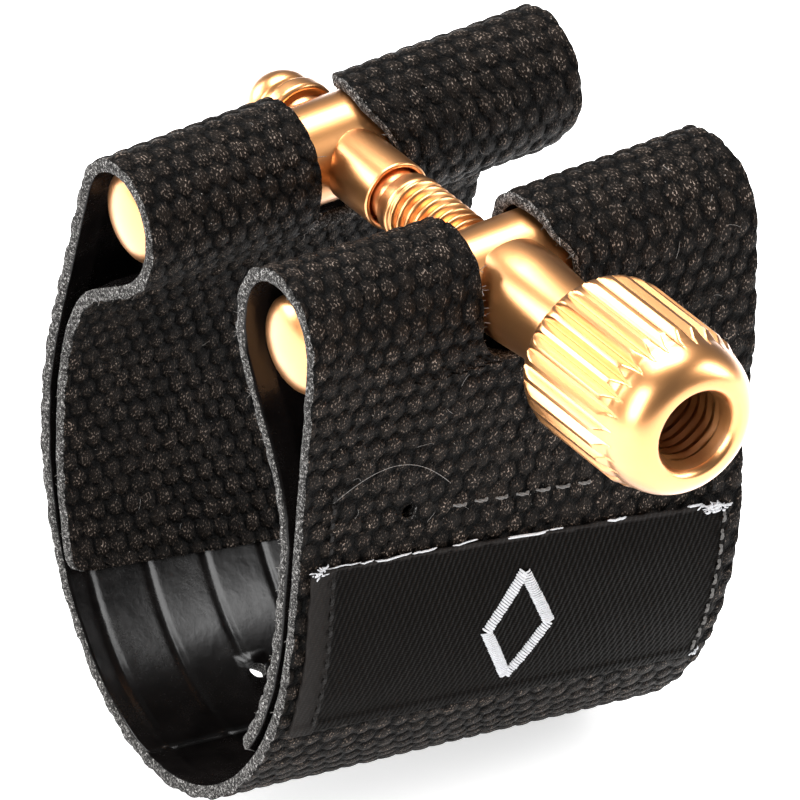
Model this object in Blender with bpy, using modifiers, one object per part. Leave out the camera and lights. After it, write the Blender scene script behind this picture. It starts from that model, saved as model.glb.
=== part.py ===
"""Saxophone ligature: a woven-and-rubber strap closed by a screw between two crossbars.

Frame: the origin lies on the mouthpiece axis at the strap's mid-length.
+X runs along the mouthpiece towards its wide shank end, +Z up to the screw,
and the thumb nut is on the -Y side. Sizes below are in millimetres.
"""
import bpy
import math
from mathutils import Vector

MM = 0.001

# ---- strap ----
STRAP_LENGTH = 28.6        # along the mouthpiece axis
STRAP_THICK = 0.85
TAPER = math.radians(4.0)  # half angle of the tapered mouthpiece
OVAL_WIDTH = 12.85         # half width of the ring at the narrow end, mid thickness
OVAL_DEPTH = 17.25         # half height of the ring's lower oval, mid thickness
OVAL_CENTRE = 4.0          # height of the oval's centre
HINGE_GAP = 0.3            # slit between the two halves at the bottom
LAYER_PITCH = 1.2          # one layer of strap plus a small gap
FAR_FLAP_END = -5.3
NEAR_FLAP_END = -7.2

# ---- crossbars and screw ----
BAR_RADIUS = 2.9
BAR_LENGTH = 28.0
BAR_SPACING = 16.22
BAR_MID = -2.2             # y half way between the crossbars
BAR_HEIGHT = 20.5          # z of the screw axis
LOOP_GAP = 0.25
LOOP_RADIUS = BAR_RADIUS + LOOP_GAP + STRAP_THICK / 2
THREAD_RADIUS = 2.0
SHANK_RADIUS = 1.7
SLEEVE_RADIUS = 2.08
COLLAR_RADIUS = 2.78
NUT_RADIUS = 4.86
NUT_TEETH = 30
NUT_BORE = 2.4
GAP = 0.3

FAR_Y = BAR_MID + BAR_SPACING / 2
NEAR_Y = BAR_MID - BAR_SPACING / 2

# ---- windows in the loops ----
FAR_WINDOW = (-3.2, 2.5)
NEAR_WINDOW = (-3.3, 3.3)

# ---- label and holes, by arc length up from the bottom slit ----
LABEL_LOW = 15.4
LABEL_HIGH = 27.0
LABEL_HALF = 13.6
LABEL_THICK = 0.4
SEAM_ARC = 29.6
NEAR_HOLE = (-7.4, 30.4)
FAR_HOLE = (-4.5, 5.2)
HOLE_RADIUS = 0.5

for old in list(bpy.data.objects):
    bpy.data.objects.remove(old, do_unlink=True)

model = bpy.data.collections.new("saxophone_ligature")
cutters = bpy.data.collections.new("cutters")
bpy.context.scene.collection.children.link(model)
bpy.context.scene.collection.children.link(cutters)


# ---------------------------------------------------------------- materials
def material(name, colour, rough, metal):
    mat = bpy.data.materials.new(name)
    mat.use_nodes = True
    bsdf = mat.node_tree.nodes["Principled BSDF"]
    bsdf.inputs["Base Color"].default_value = (*colour, 1.0)
    bsdf.inputs["Roughness"].default_value = rough
    bsdf.inputs["Metallic"].default_value = metal
    return mat


GOLD = (0.78, 0.45, 0.16)
FABRIC = (0.014, 0.012, 0.011)


# ---------------------------------------------------------------- helpers
def place(obj, where, mat):
    for col in list(obj.users_collection):
        col.objects.unlink(obj)
    where.objects.link(obj)
    if mat is not None:
        obj.data.materials.clear()
        obj.data.materials.append(mat)
    return obj


def new_mesh(name, verts, faces, where, mat):
    mesh = bpy.data.meshes.new(name)
    mesh.from_pydata([Vector(v) * MM for v in verts], [], faces)
    mesh.update()
    obj = bpy.data.objects.new(name, mesh)
    where.objects.link(obj)
    if mat is not None:
        mesh.materials.append(mat)
    return obj


def hide_cutter(obj):
    obj.hide_render = True
    obj.display_type = "WIRE"
    return obj


def cut(obj, cutter):
    mod = obj.modifiers.new("cut", "BOOLEAN")
    mod.operation = "DIFFERENCE"
    mod.solver = "EXACT"
    mod.object = cutter
    return mod


def rod_cutter(name, radius, length, centre, rotation, verts=32):
    bpy.ops.mesh.primitive_cylinder_add(vertices=verts, radius=radius * MM, depth=length * MM,
                                        location=Vector(centre) * MM, rotation=rotation)
    obj = place(bpy.context.object, cutters, None)
    obj.name = name
    return hide_cutter(obj)


def box_cutter(name, low, high, tilt=0.0):
    centre = [(a + b) / 2 for a, b in zip(low, high)]
    bpy.ops.mesh.primitive_cube_add(size=1.0, location=Vector(centre) * MM,
                                    rotation=(0.0, tilt, 0.0))
    obj = place(bpy.context.object, cutters, None)
    obj.name = name
    obj.scale = [(b - a) * MM for a, b in zip(low, high)]
    bpy.ops.object.transform_apply(location=False, rotation=False, scale=True)
    return hide_cutter(obj)


def turned(name, profile, centre, rotation, mat, where=None, steps=64):
    """Spin a profile of (radius, height) pairs, listed top to bottom, about local Z."""
    verts = [(r, 0.0, h) for r, h in profile]
    edges = [(i, i + 1) for i in range(len(verts) - 1)]
    mesh = bpy.data.meshes.new(name)
    mesh.from_pydata([Vector(v) * MM for v in verts], edges, [])
    obj = bpy.data.objects.new(name, mesh)
    (where or model).objects.link(obj)
    if mat is not None:
        mesh.materials.append(mat)
    obj.location = Vector(centre) * MM
    obj.rotation_euler = rotation
    screw = obj.modifiers.new("turn", "SCREW")
    screw.axis = "Z"
    screw.steps = steps
    screw.render_steps = steps
    screw.use_merge_vertices = True
    screw.merge_threshold = 0.000001
    screw.use_smooth_shade = True
    return obj


def arc(cx, cz, radius, start, stop, count):
    """Points on a circle, from the start angle to the stop angle in degrees."""
    pts = []
    for i in range(count + 1):
        a = math.radians(start + (stop - start) * i / count)
        pts.append((cx + radius * math.cos(a), cz + radius * math.sin(a)))
    return pts


def bezier(a, b, c, d, count):
    pts = []
    for i in range(count + 1):
        t = i / count
        w = ((1 - t) ** 3, 3 * t * (1 - t) ** 2, 3 * t * t * (1 - t), t ** 3)
        pts.append(tuple(sum(k * p[j] for k, p in zip(w, (a, b, c, d))) for j in range(2)))
    return pts


def join(*runs):
    """Chain runs of points, dropping points that repeat."""
    out = []
    for run in runs:
        for p in run:
            if not out or math.dist(p, out[-1]) > 0.02:
                out.append(p)
    return out


def resample(pts, count):
    lengths = [0.0]
    for a, b in zip(pts, pts[1:]):
        lengths.append(lengths[-1] + math.dist(a, b))
    out = []
    k = 0
    for i in range(count + 1):
        s = lengths[-1] * i / count
        while k < len(pts) - 2 and lengths[k + 1] < s:
            k += 1
        t = (s - lengths[k]) / (lengths[k + 1] - lengths[k])
        out.append(tuple(pts[k][j] + t * (pts[k + 1][j] - pts[k][j]) for j in range(2)))
    return out


# ---------------------------------------------------------------- strap section
def growth(x):
    return (x + STRAP_LENGTH / 2) * math.tan(TAPER)


def bar_z(x):
    return BAR_HEIGHT + x * math.tan(TAPER)


def oval(x, degrees):
    a = math.radians(degrees)
    return ((OVAL_WIDTH + growth(x)) * math.cos(a),
            OVAL_CENTRE + (OVAL_DEPTH + growth(x)) * math.sin(a))


def outward(x, degrees):
    """Unit normal of the oval, pointing away from the ring's centre."""
    a = math.radians(degrees)
    n = (math.cos(a) / (OVAL_WIDTH + growth(x)), math.sin(a) / (OVAL_DEPTH + growth(x)))
    k = math.hypot(*n)
    return (n[0] / k, n[1] / k)


def touch_angle(x, bar_y, low, high):
    """Oval angle whose tangent also touches the outside of the loop round a crossbar."""
    def miss(deg):
        p = oval(x, deg)
        n = outward(x, deg)
        return (bar_y - p[0]) * n[0] + (bar_z(x) - p[1]) * n[1] + LOOP_RADIUS
    a, b = low, high
    for _ in range(50):
        m = (a + b) / 2
        if (miss(a) > 0) == (miss(m) > 0):
            a = m
        else:
            b = m
    return (a + b) / 2


def far_wall(x):
    """Outer wall of the far half, from the bottom slit to the top of its straight run."""
    top = touch_angle(x, FAR_Y, -30.0, 60.0)
    n = outward(x, top)
    slit = math.degrees(HINGE_GAP / 2 / (OVAL_WIDTH + growth(x)))
    lower = [oval(x, -90 + slit + (top + 90 - slit) * i / 40) for i in range(41)]
    end = (FAR_Y + LOOP_RADIUS * n[0], bar_z(x) + LOOP_RADIUS * n[1])
    return join(lower, [end]), math.degrees(math.atan2(n[1], n[0]))


def far_path(x):
    wall, lean = far_wall(x)
    g = growth(x)
    z = bar_z(x)
    loop = arc(FAR_Y, z, LOOP_RADIUS, lean, 190.0, 34)
    start = loop[-1]
    sag = 0.35 * g
    knee = (FAR_Y + 2.1 + g * 0.5, z - 5.6 - sag)
    under = bezier(start, (start[0] + 0.4, start[1] - 2.6 - sag),
                   (knee[0] - 2.8, knee[1] + 1.75), knee, 16)
    side = bezier(knee, (knee[0] + 2.1, knee[1] - 1.3),
                  (11.2 + g, 9.0), (11.25 + g * 0.95, 4.5), 14)
    tip = bezier(side[-1], (11.3 + g * 0.9, 1.2), (10.9 + g * 0.75, -2.0),
                 (9.75 + g * 0.45, FAR_FLAP_END - g * 2.3), 10)
    return join(resample(wall, 26), loop[1:], under, side, tip)


def near_wall(x):
    top = touch_angle(x, NEAR_Y, 210.0, 150.0)
    n = outward(x, top)
    slit = math.degrees(HINGE_GAP / 2 / (OVAL_WIDTH + growth(x)))
    low = 270.0 - slit
    lower = [oval(x, low + (top - low) * i / 40) for i in range(41)]
    end = (NEAR_Y + LOOP_RADIUS * n[0], bar_z(x) + LOOP_RADIUS * n[1])
    return join(lower, [end]), math.degrees(math.atan2(n[1], n[0])) % 360.0


def near_path(x):
    wall, lean = near_wall(x)
    z = bar_z(x)
    loop = arc(NEAR_Y, z, LOOP_RADIUS, lean, -30.0, 36)
    # the folded layer lies against the inside of the wall, one layer in
    fine = resample(wall, 120)
    inner = []
    for a, b in zip(fine, fine[1:]):
        d = math.dist(a, b)
        px = a[0] + LAYER_PITCH * (b[1] - a[1]) / d
        pz = a[1] - LAYER_PITCH * (b[0] - a[0]) / d
        if NEAR_FLAP_END - growth(x) * 0.5 < pz < 7.5:
            inner.append((px, pz))
    inner.reverse()
    start = loop[-1]
    drop = bezier(start, (start[0] - 2.0, start[1] - 3.5),
                  (inner[0][0] + 0.0, inner[0][1] + 4.2), inner[0], 12)
    return join(resample(wall, 30), loop[1:], drop, resample(inner, 12))


def strap_sheet(name, path, stations, mat):
    """Loft the section along the axis as an open sheet and thicken it."""
    rows = []
    for i in range(stations + 1):
        x = STRAP_LENGTH * (i / stations - 0.5)
        rows.append([(x, p[0], p[1]) for p in resample(path(x), 84)])
    verts = [v for row in rows for v in row]
    wide = len(rows[0])
    faces = []
    for i in range(len(rows) - 1):
        for j in range(wide - 1):
            k = i * wide + j
            faces.append((k, k + 1, k + wide + 1, k + wide))
    obj = new_mesh(name, verts, faces, model, mat)
    solid = obj.modifiers.new("thickness", "SOLIDIFY")
    solid.thickness = STRAP_THICK * MM
    solid.offset = 0.0
    solid.use_even_offset = True
    return obj


def wall_point(wall, x, s, lift):
    """Point on a strap wall at arc length s from the slit, lifted off its outside."""
    pts, _ = wall(x)
    run = 0.0
    for a, b in zip(pts, pts[1:]):
        d = math.dist(a, b)
        if run + d >= s:
            t = (s - run) / d
            side = 1.0 if wall is near_wall else -1.0
            ny = -side * (b[1] - a[1]) / d
            nz = side * (b[0] - a[0]) / d
            return (x, a[0] + t * (b[0] - a[0]) + lift * ny,
                    a[1] + t * (b[1] - a[1]) + lift * nz)
        run += d
    raise ValueError("arc length is past the wall")


# ---------------------------------------------------------------- strap halves
far_strap = strap_sheet("strap_far_half", far_path, 4,
                        material("woven_strap_far", FABRIC, 0.78, 0.0))
near_strap = strap_sheet("strap_near_half", near_path, 4,
                         material("woven_strap_near", FABRIC, 0.78, 0.0))


def rounded_window(name, span, bar_y, low_z, high_z, radius):
    """Square notch with rounded lower corners, cut through the top of a loop."""
    bpy.ops.mesh.primitive_cube_add(size=1.0)
    obj = place(bpy.context.object, cutters, None)
    obj.name = name
    obj.location = Vector(((span[0] + span[1]) / 2, bar_y, (low_z + high_z) / 2)) * MM
    obj.scale = Vector((span[1] - span[0], 12.0, high_z - low_z)) * MM
    bpy.ops.object.transform_apply(location=False, rotation=False, scale=True)
    bev = obj.modifiers.new("corners", "BEVEL")
    bev.width = radius * MM
    bev.segments = 3
    return hide_cutter(obj)


cut(far_strap, rounded_window("far_window", FAR_WINDOW, FAR_Y, BAR_HEIGHT - 4.2,
                              BAR_HEIGHT + 8.0, 0.8))
cut(near_strap, rounded_window("near_window", NEAR_WINDOW, NEAR_Y, BAR_HEIGHT - 3.9,
                               BAR_HEIGHT + 8.0, 0.8))

for strap, wall, spot in ((near_strap, near_wall, NEAR_HOLE), (far_strap, far_wall, FAR_HOLE)):
    p = Vector(wall_point(wall, spot[0], spot[1], 0.0))
    q = Vector(wall_point(wall, spot[0], spot[1], 1.0))
    turn = (q - p).to_track_quat("Z", "Y").to_euler()
    cut(strap, rod_cutter(strap.name + "_eyelet", HOLE_RADIUS, 2.0, p, turn, 20))


# ---------------------------------------------------------------- crossbars
BAR_TURN = (0.0, math.pi / 2 - TAPER, 0.0)


def bar_profile():
    """Domed rod, listed from its top end to its bottom end."""
    half = BAR_LENGTH / 2
    dome = 0.75
    top = []
    for i in range(6):
        a = math.radians(90.0 - 18.0 * i)
        top.append((BAR_RADIUS * math.cos(a), half - dome + dome * math.sin(a)))
    bottom = [(r, -h) for r, h in reversed(top)]
    return top + bottom


def crossbar(name, y, bore):
    bar = turned(name, bar_profile(), (0.0, y, BAR_HEIGHT), BAR_TURN,
                 material(name + "_gold", GOLD, 0.3, 1.0), steps=40)
    cut(bar, rod_cutter(name + "_bore", bore, 12.0, (0.0, y, BAR_HEIGHT),
                        (math.pi / 2, 0.0, 0.0)))
    return bar


far_bar = crossbar("far_crossbar", FAR_Y, SHANK_RADIUS + GAP)
near_bar = crossbar("near_crossbar", NEAR_Y, THREAD_RADIUS + GAP)

# local Z of a turned screw part points along -Y of the object, towards the thumb nut
SCREW_TURN = (math.pi / 2, 0.0, 0.0)


def screw_part(name, profile, colour_name, rough, steps=48):
    """Profile heights run along -Y from the plane half way between the crossbars."""
    return turned(name, profile, (0.0, BAR_MID, BAR_HEIGHT), SCREW_TURN,
                  material(colour_name, GOLD, rough, 1.0), steps=steps)


HALF = BAR_SPACING / 2

# ---------------------------------------------------------------- stud
head_top = HALF + BAR_RADIUS + GAP
stud_profile = [(0.0, 19.4), (1.6, 19.4), (THREAD_RADIUS, 19.0), (THREAD_RADIUS, -0.3),
                (SHANK_RADIUS, -0.7), (SHANK_RADIUS, -head_top - 1.35),
                (2.05, -head_top - 1.45), (2.22, -head_top - 1.75)]
for i in range(7):
    a = math.radians(15.0 * i)
    stud_profile.append((2.22 * math.cos(a), -head_top - 2.5 - 1.75 * math.sin(a)))
stud = screw_part("stud", stud_profile, "stud_gold", 0.28)

washer = screw_part("head_washer",
                    [(SHANK_RADIUS + GAP, -head_top), (2.25, -head_top), (2.4, -head_top - 0.2),
                     (2.4, -head_top - 0.9), (2.25, -head_top - 1.1),
                     (SHANK_RADIUS + GAP, -head_top - 1.1), (SHANK_RADIUS + GAP, -head_top)],
                    "washer_gold", 0.3)

# ---------------------------------------------------------------- far sleeve and its collar
sleeve = screw_part("stud_sleeve",
                    [(SHANK_RADIUS + GAP - 0.05, -1.55), (1.98, -1.55), (SLEEVE_RADIUS, -1.65),
                     (SLEEVE_RADIUS, -HALF - 1.0), (SHANK_RADIUS + GAP - 0.05, -HALF - 1.0),
                     (SHANK_RADIUS + GAP - 0.05, -1.55)],
                    "sleeve_gold", 0.26)
cut(sleeve, rod_cutter("sleeve_saddle", BAR_RADIUS + GAP, 14.0, (0.0, FAR_Y, BAR_HEIGHT),
                       BAR_TURN, 64))

# ---------------------------------------------------------------- near collar
collar = screw_part("near_collar",
                    [(THREAD_RADIUS + GAP, 16.4), (2.55, 16.4), (2.6, 16.0), (2.6, 14.6),
                     (COLLAR_RADIUS, 12.2), (2.87, 11.2), (2.87, HALF + 0.4),
                     (THREAD_RADIUS + GAP, HALF + 0.4), (THREAD_RADIUS + GAP, 16.4)],
                    "collar_gold", 0.26)
cut(collar, rod_cutter("collar_saddle", BAR_RADIUS + GAP, 16.0, (0.0, NEAR_Y, BAR_HEIGHT),
                       BAR_TURN, 64))

# ---------------------------------------------------------------- thumb nut
NUT_IN = 16.7
NUT_OUT = 27.3
nut_profile = [(NUT_BORE - 0.1, NUT_OUT - 0.35), (NUT_BORE, NUT_OUT), (NUT_BORE + 0.3, NUT_OUT + 0.02)]
for i in range(9):
    a = math.radians(82.0 - 82.0 * i / 8)
    nut_profile.append((2.7 + (NUT_RADIUS - 2.7) * math.cos(a), 24.7 + 2.6 * math.sin(a)))
nut_profile += [(NUT_RADIUS, 18.4), (NUT_RADIUS - 0.25, 17.5), (NUT_RADIUS - 0.9, NUT_IN),
                (THREAD_RADIUS + GAP, NUT_IN), (THREAD_RADIUS + GAP, NUT_OUT - 0.35)]
nut_profile.append(nut_profile[0])
nut = screw_part("thumb_nut", nut_profile, "nut_gold", 0.24, steps=60)


def knurl_cutter():
    """A fan of V-shaped bars, one for each groove between the teeth."""
    verts = []
    faces = []
    pitch = 2 * math.pi / NUT_TEETH
    root = NUT_RADIUS - 0.42
    for k in range(NUT_TEETH):
        a = k * pitch
        ring = [(root, 0.0), (NUT_RADIUS + 0.25, 0.47), (NUT_RADIUS + 0.25, -0.47)]
        base = len(verts)
        for h in (NUT_IN - 1.0, NUT_OUT + 1.0):
            for r, w in ring:
                verts.append((r * math.cos(a) - w * math.sin(a),
                              r * math.sin(a) + w * math.cos(a), h))
        faces += [(base, base + 1, base + 2), (base + 3, base + 5, base + 4),
                  (base, base + 3, base + 4, base + 1), (base + 1, base + 4, base + 5, base + 2),
                  (base + 2, base + 5, base + 3, base)]
    obj = new_mesh("knurl", verts, faces, cutters, None)
    obj.location = Vector((0.0, BAR_MID, BAR_HEIGHT)) * MM
    obj.rotation_euler = SCREW_TURN
    return hide_cutter(obj)


cut(nut, knurl_cutter())


# ---------------------------------------------------------------- label and stitching
def label_sheet():
    rows = 8
    cols = 12
    lift = STRAP_THICK / 2 + GAP + LABEL_THICK / 2
    verts = []
    for i in range(rows + 1):
        x = -LABEL_HALF + 2 * LABEL_HALF * i / rows
        for j in range(cols + 1):
            s = LABEL_LOW + (LABEL_HIGH - LABEL_LOW) * j / cols
            verts.append(wall_point(near_wall, x, s, lift))
    faces = []
    for i in range(rows):
        for j in range(cols):
            k = i * (cols + 1) + j
            faces.append((k, k + cols + 1, k + cols + 2, k + 1))
    obj = new_mesh("label", verts, faces, model, material("label_satin", (0.02, 0.016, 0.015), 0.5, 0.0))
    solid = obj.modifiers.new("thickness", "SOLIDIFY")
    solid.thickness = LABEL_THICK * MM
    solid.offset = 0.0
    return obj


label = label_sheet()


def thread_run(name, points, mat, radius=0.13):
    """A run of sewing thread: one tube that dips and rises with each stitch."""
    curve = bpy.data.curves.new(name, "CURVE")
    curve.dimensions = "3D"
    curve.bevel_depth = radius * MM
    curve.bevel_resolution = 1
    curve.use_fill_caps = True
    spline = curve.splines.new("POLY")
    spline.points.add(len(points) - 1)
    for pt, co in zip(spline.points, points):
        pt.co = (*(Vector(co) * MM), 1.0)
    obj = bpy.data.objects.new(name, curve)
    model.objects.link(obj)
    curve.materials.append(mat)
    return obj


THREAD_LIFT = STRAP_THICK / 2 + GAP + 0.16


def stitch_line(a, b, count, base):
    """Arched stitches from a to b, each an (x, arc length) pair on the near wall."""
    pts = []
    steps = count * 4
    for i in range(steps + 1):
        t = i / steps
        hump = abs(math.sin(math.pi * count * t))
        x = a[0] + t * (b[0] - a[0])
        s = a[1] + t * (b[1] - a[1])
        pts.append(wall_point(near_wall, x, s, base + 0.22 * hump))
    return pts


thread_black = material("thread_black", (0.03, 0.028, 0.027), 0.7, 0.0)
thread_grey = material("thread_grey", (0.35, 0.34, 0.33), 0.7, 0.0)
thread_run("seam_stitches", stitch_line((-4.8, SEAM_ARC), (4.6, SEAM_ARC), 7, THREAD_LIFT),
           thread_grey)
thread_run("fold_stitches_left", stitch_line((-12.4, 27.6), (-12.4, 32.0), 5, THREAD_LIFT),
           thread_black)
thread_run("fold_stitches_right", stitch_line((12.4, 27.6), (12.4, 32.0), 5, THREAD_LIFT),
           thread_black)
LABEL_THREAD = THREAD_LIFT + LABEL_THICK + GAP
thread_run("label_stitches_left", stitch_line((-12.6, 16.2), (-12.6, 26.2), 10, LABEL_THREAD),
           thread_black)
thread_run("label_stitches_right", stitch_line((12.8, 16.2), (12.8, 26.2), 10, LABEL_THREAD),
           thread_black)

# ---------------------------------------------------------------- shading and joints
for obj in list(model.objects):
    if obj.type == "MESH":
        obj.data.shade_smooth()
        obj.data.set_sharp_from_angle(angle=math.radians(35.0))


def axis_empty(name, location):
    empty = bpy.data.objects.new(name, None)
    empty.location = Vector(location) * MM
    empty.empty_display_size = 0.004
    model.objects.link(empty)
    return empty


def hang(child, parent):
    bpy.context.view_layer.update()
    child.parent = parent
    child.matrix_parent_inverse = parent.matrix_world.inverted()


hinge = axis_empty("bottom_hinge_axis", (0.0, 0.0, OVAL_CENTRE - OVAL_DEPTH - growth(0.0)))
slide = axis_empty("near_bar_slide_axis", (0.0, NEAR_Y, BAR_HEIGHT))
for part in (near_strap, label):
    hang(part, hinge)
for part in [o for o in model.objects if o.type == "CURVE"]:
    hang(part, hinge)
for part in (near_bar, collar, nut):
    hang(part, slide)
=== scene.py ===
"""Saxophone ligature: woven strap, satin gold crossbars and thumb screw.

Lengths below are in millimetres in the row frame, turned into metres when a mesh is made.
"""
import bpy
import bmesh
import math
import numpy as np
from mathutils import Matrix, Vector


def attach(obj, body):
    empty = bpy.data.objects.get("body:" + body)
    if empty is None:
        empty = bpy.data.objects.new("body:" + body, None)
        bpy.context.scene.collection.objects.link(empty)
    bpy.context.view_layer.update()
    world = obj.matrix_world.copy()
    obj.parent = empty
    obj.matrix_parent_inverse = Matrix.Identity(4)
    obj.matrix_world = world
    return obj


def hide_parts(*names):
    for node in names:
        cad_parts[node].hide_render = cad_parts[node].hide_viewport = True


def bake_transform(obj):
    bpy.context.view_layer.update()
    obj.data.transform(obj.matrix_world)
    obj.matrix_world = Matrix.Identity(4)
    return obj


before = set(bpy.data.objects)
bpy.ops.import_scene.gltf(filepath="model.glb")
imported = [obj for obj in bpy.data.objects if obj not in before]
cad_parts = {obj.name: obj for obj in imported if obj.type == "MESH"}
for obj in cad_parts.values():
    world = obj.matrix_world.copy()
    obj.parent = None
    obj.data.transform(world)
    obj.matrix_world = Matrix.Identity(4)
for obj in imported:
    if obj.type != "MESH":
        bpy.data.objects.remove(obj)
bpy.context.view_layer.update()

MM = 0.001
rng = np.random.default_rng(41)
scene = bpy.context.scene

# ---- the strap's measures, as in the CAD ----
LENGTH = 28.6
HALF = LENGTH / 2
SLOPE = math.tan(math.radians(4.0))
OVAL_W, OVAL_D, OVAL_Z = 12.85, 17.25, 4.0
BAR_R, BAR_LEN, BAR_Z, BAR_MID = 2.9, 28.0, 20.5, -2.2
FAR_Y, NEAR_Y = 5.91, -10.31
FAR_LOOP, NEAR_LOOP = 3.42, 3.5
LAYER = 1.2
FAR_TIP, NEAR_TIP = -5.3, -7.2
SEAM_Y = 1.0               # the two strap pieces meet under the ring, at this y
# the cloth's two faces off the strap's middle surface, and how far a yarn stands up
BASE_OUT, BASE_IN, BUMP = 0.30, -0.36, 0.17
FACE = BASE_OUT + BUMP     # top of the yarns
NARROW_LIFT = 1.15         # how far the near loop stands off its crossbar at the narrow end
WIDE_BULGE = 0.95          # how far the near wall bows out at the wide end
HOLE_R = 0.52              # the punched holes
TIP_ROUND = 0.8            # corners of the strap's free ends


# ---- strap section ----
def growth(x):
    return (x + HALF) * SLOPE


def bar_z(x):
    return BAR_Z + x * SLOPE


def smooth(t):
    t = min(1.0, max(0.0, t))
    return t * t * (3 - 2 * t)


def oval(x, deg):
    a = math.radians(deg)
    return ((OVAL_W + growth(x)) * math.cos(a), OVAL_Z + (OVAL_D + growth(x)) * math.sin(a))


def outward(x, deg):
    a = math.radians(deg)
    n = (math.cos(a) / (OVAL_W + growth(x)), math.sin(a) / (OVAL_D + growth(x)))
    k = math.hypot(*n)
    return n[0] / k, n[1] / k


def touch_angle(x, bar_y, radius, low, high):
    """Oval angle whose tangent also touches the loop round a crossbar."""
    def miss(deg):
        p, n = oval(x, deg), outward(x, deg)
        return (bar_y - p[0]) * n[0] + (bar_z(x) - p[1]) * n[1] + radius
    a, b = low, high
    for _ in range(40):
        m = (a + b) / 2
        if (miss(a) > 0) == (miss(m) > 0):
            a = m
        else:
            b = m
    return (a + b) / 2


def arc(cy, cz, radius, start, stop, count):
    a = np.radians(np.linspace(start, stop, count + 1))
    return [(cy + radius * math.cos(t), cz + radius * math.sin(t)) for t in a]


def bezier(a, b, c, d, count):
    out = []
    for t in np.linspace(0, 1, count + 1):
        w = ((1 - t) ** 3, 3 * t * (1 - t) ** 2, 3 * t * t * (1 - t), t ** 3)
        out.append(tuple(sum(k * p[j] for k, p in zip(w, (a, b, c, d))) for j in range(2)))
    return out


def join(*runs):
    out = []
    for run in runs:
        for p in run:
            if not out or math.dist(p, out[-1]) > 0.015:
                out.append(p)
    return out


def resample(pts, count):
    p = np.array(pts)
    s = np.concatenate([[0], np.cumsum(np.linalg.norm(np.diff(p, axis=0), axis=1))])
    t = np.linspace(0, s[-1], count + 1)
    return np.stack([np.interp(t, s, p[:, 0]), np.interp(t, s, p[:, 1])], 1), s[-1]


def wall(x, near):
    bar_y, radius = (NEAR_Y, NEAR_LOOP) if near else (FAR_Y, FAR_LOOP)
    start = -math.degrees(math.acos(SEAM_Y / (OVAL_W + growth(x)))) % 360.0
    if near:
        top = touch_angle(x, bar_y, radius, 210.0, 150.0)
    else:
        start -= 360.0
        top = touch_angle(x, bar_y, radius, -30.0, 60.0)
    n = outward(x, top)
    lower = [oval(x, a) for a in np.linspace(start, top, 161)]
    end = (bar_y + radius * n[0], bar_z(x) + radius * n[1])
    last = lower[-1]
    straight = [(last[0] + (end[0] - last[0]) * t, last[1] + (end[1] - last[1]) * t)
                for t in np.linspace(0, 1, 40)]
    return join(lower, straight), math.degrees(math.atan2(n[1], n[0])) % 360.0


def far_path(x):
    run, lean = wall(x, False)
    lean = (lean + 180.0) % 360.0 - 180.0
    g, z = growth(x), bar_z(x)
    loop = arc(FAR_Y, z, FAR_LOOP, lean, 190.0, 90)
    start = loop[-1]
    sag = 0.35 * g
    knee = (FAR_Y + 2.1 + g * 0.5, z - 5.6 - sag)
    under = bezier(start, (start[0] + 0.4, start[1] - 2.6 - sag), (knee[0] - 2.8, knee[1] + 1.75), knee, 50)
    side = bezier(knee, (knee[0] + 2.1, knee[1] - 1.3), (11.2 + g, 9.0), (11.25 + g * 0.95, 4.5), 50)
    tip = bezier(side[-1], (11.3 + g * 0.9, 1.2), (10.9 + g * 0.75, -2.0),
                 (9.75 + g * 0.45, FAR_TIP - g * 2.3), 50)
    return join(run, loop, under, side, tip)


def near_path(x):
    run, lean = wall(x, True)
    z = bar_z(x)
    loop = arc(NEAR_Y, z, NEAR_LOOP, lean, -30.0, 90)
    inner = []
    for a, b in zip(run, run[1:]):
        d = math.dist(a, b)
        py = a[0] + LAYER * (b[1] - a[1]) / d
        pz = a[1] - LAYER * (b[0] - a[0]) / d
        if NEAR_TIP - growth(x) * 0.5 < pz < 7.5 and a[0] < -3.0:
            inner.append((py, pz))
    inner.reverse()
    start = loop[-1]
    drop = bezier(start, (start[0] - 2.0, start[1] - 3.5), (inner[0][0], inner[0][1] + 4.2), inner[0], 50)
    lift = NARROW_LIFT * min(1.0, max(0.0, 0.5 - x / LENGTH)) ** 3
    bulge = WIDE_BULGE * smooth((x - 1.0) / (HALF - 1.0))
    out = []
    for py, pz in join(run, loop, drop, inner):
        high = smooth((pz - (z - 3.0)) / 6.0)
        outer = smooth((-(8.0 if pz > z - 6 else 6.0) - py) / 4.0)
        side = outer * smooth((pz - 7.0) / 9.0)
        out.append((py - bulge * side, pz + lift * high))
    return out


def unit(v):
    """Vectors along the last axis, made one long."""
    return v / (np.linalg.norm(v, axis=-1, keepdims=True) + 1e-12)


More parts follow.
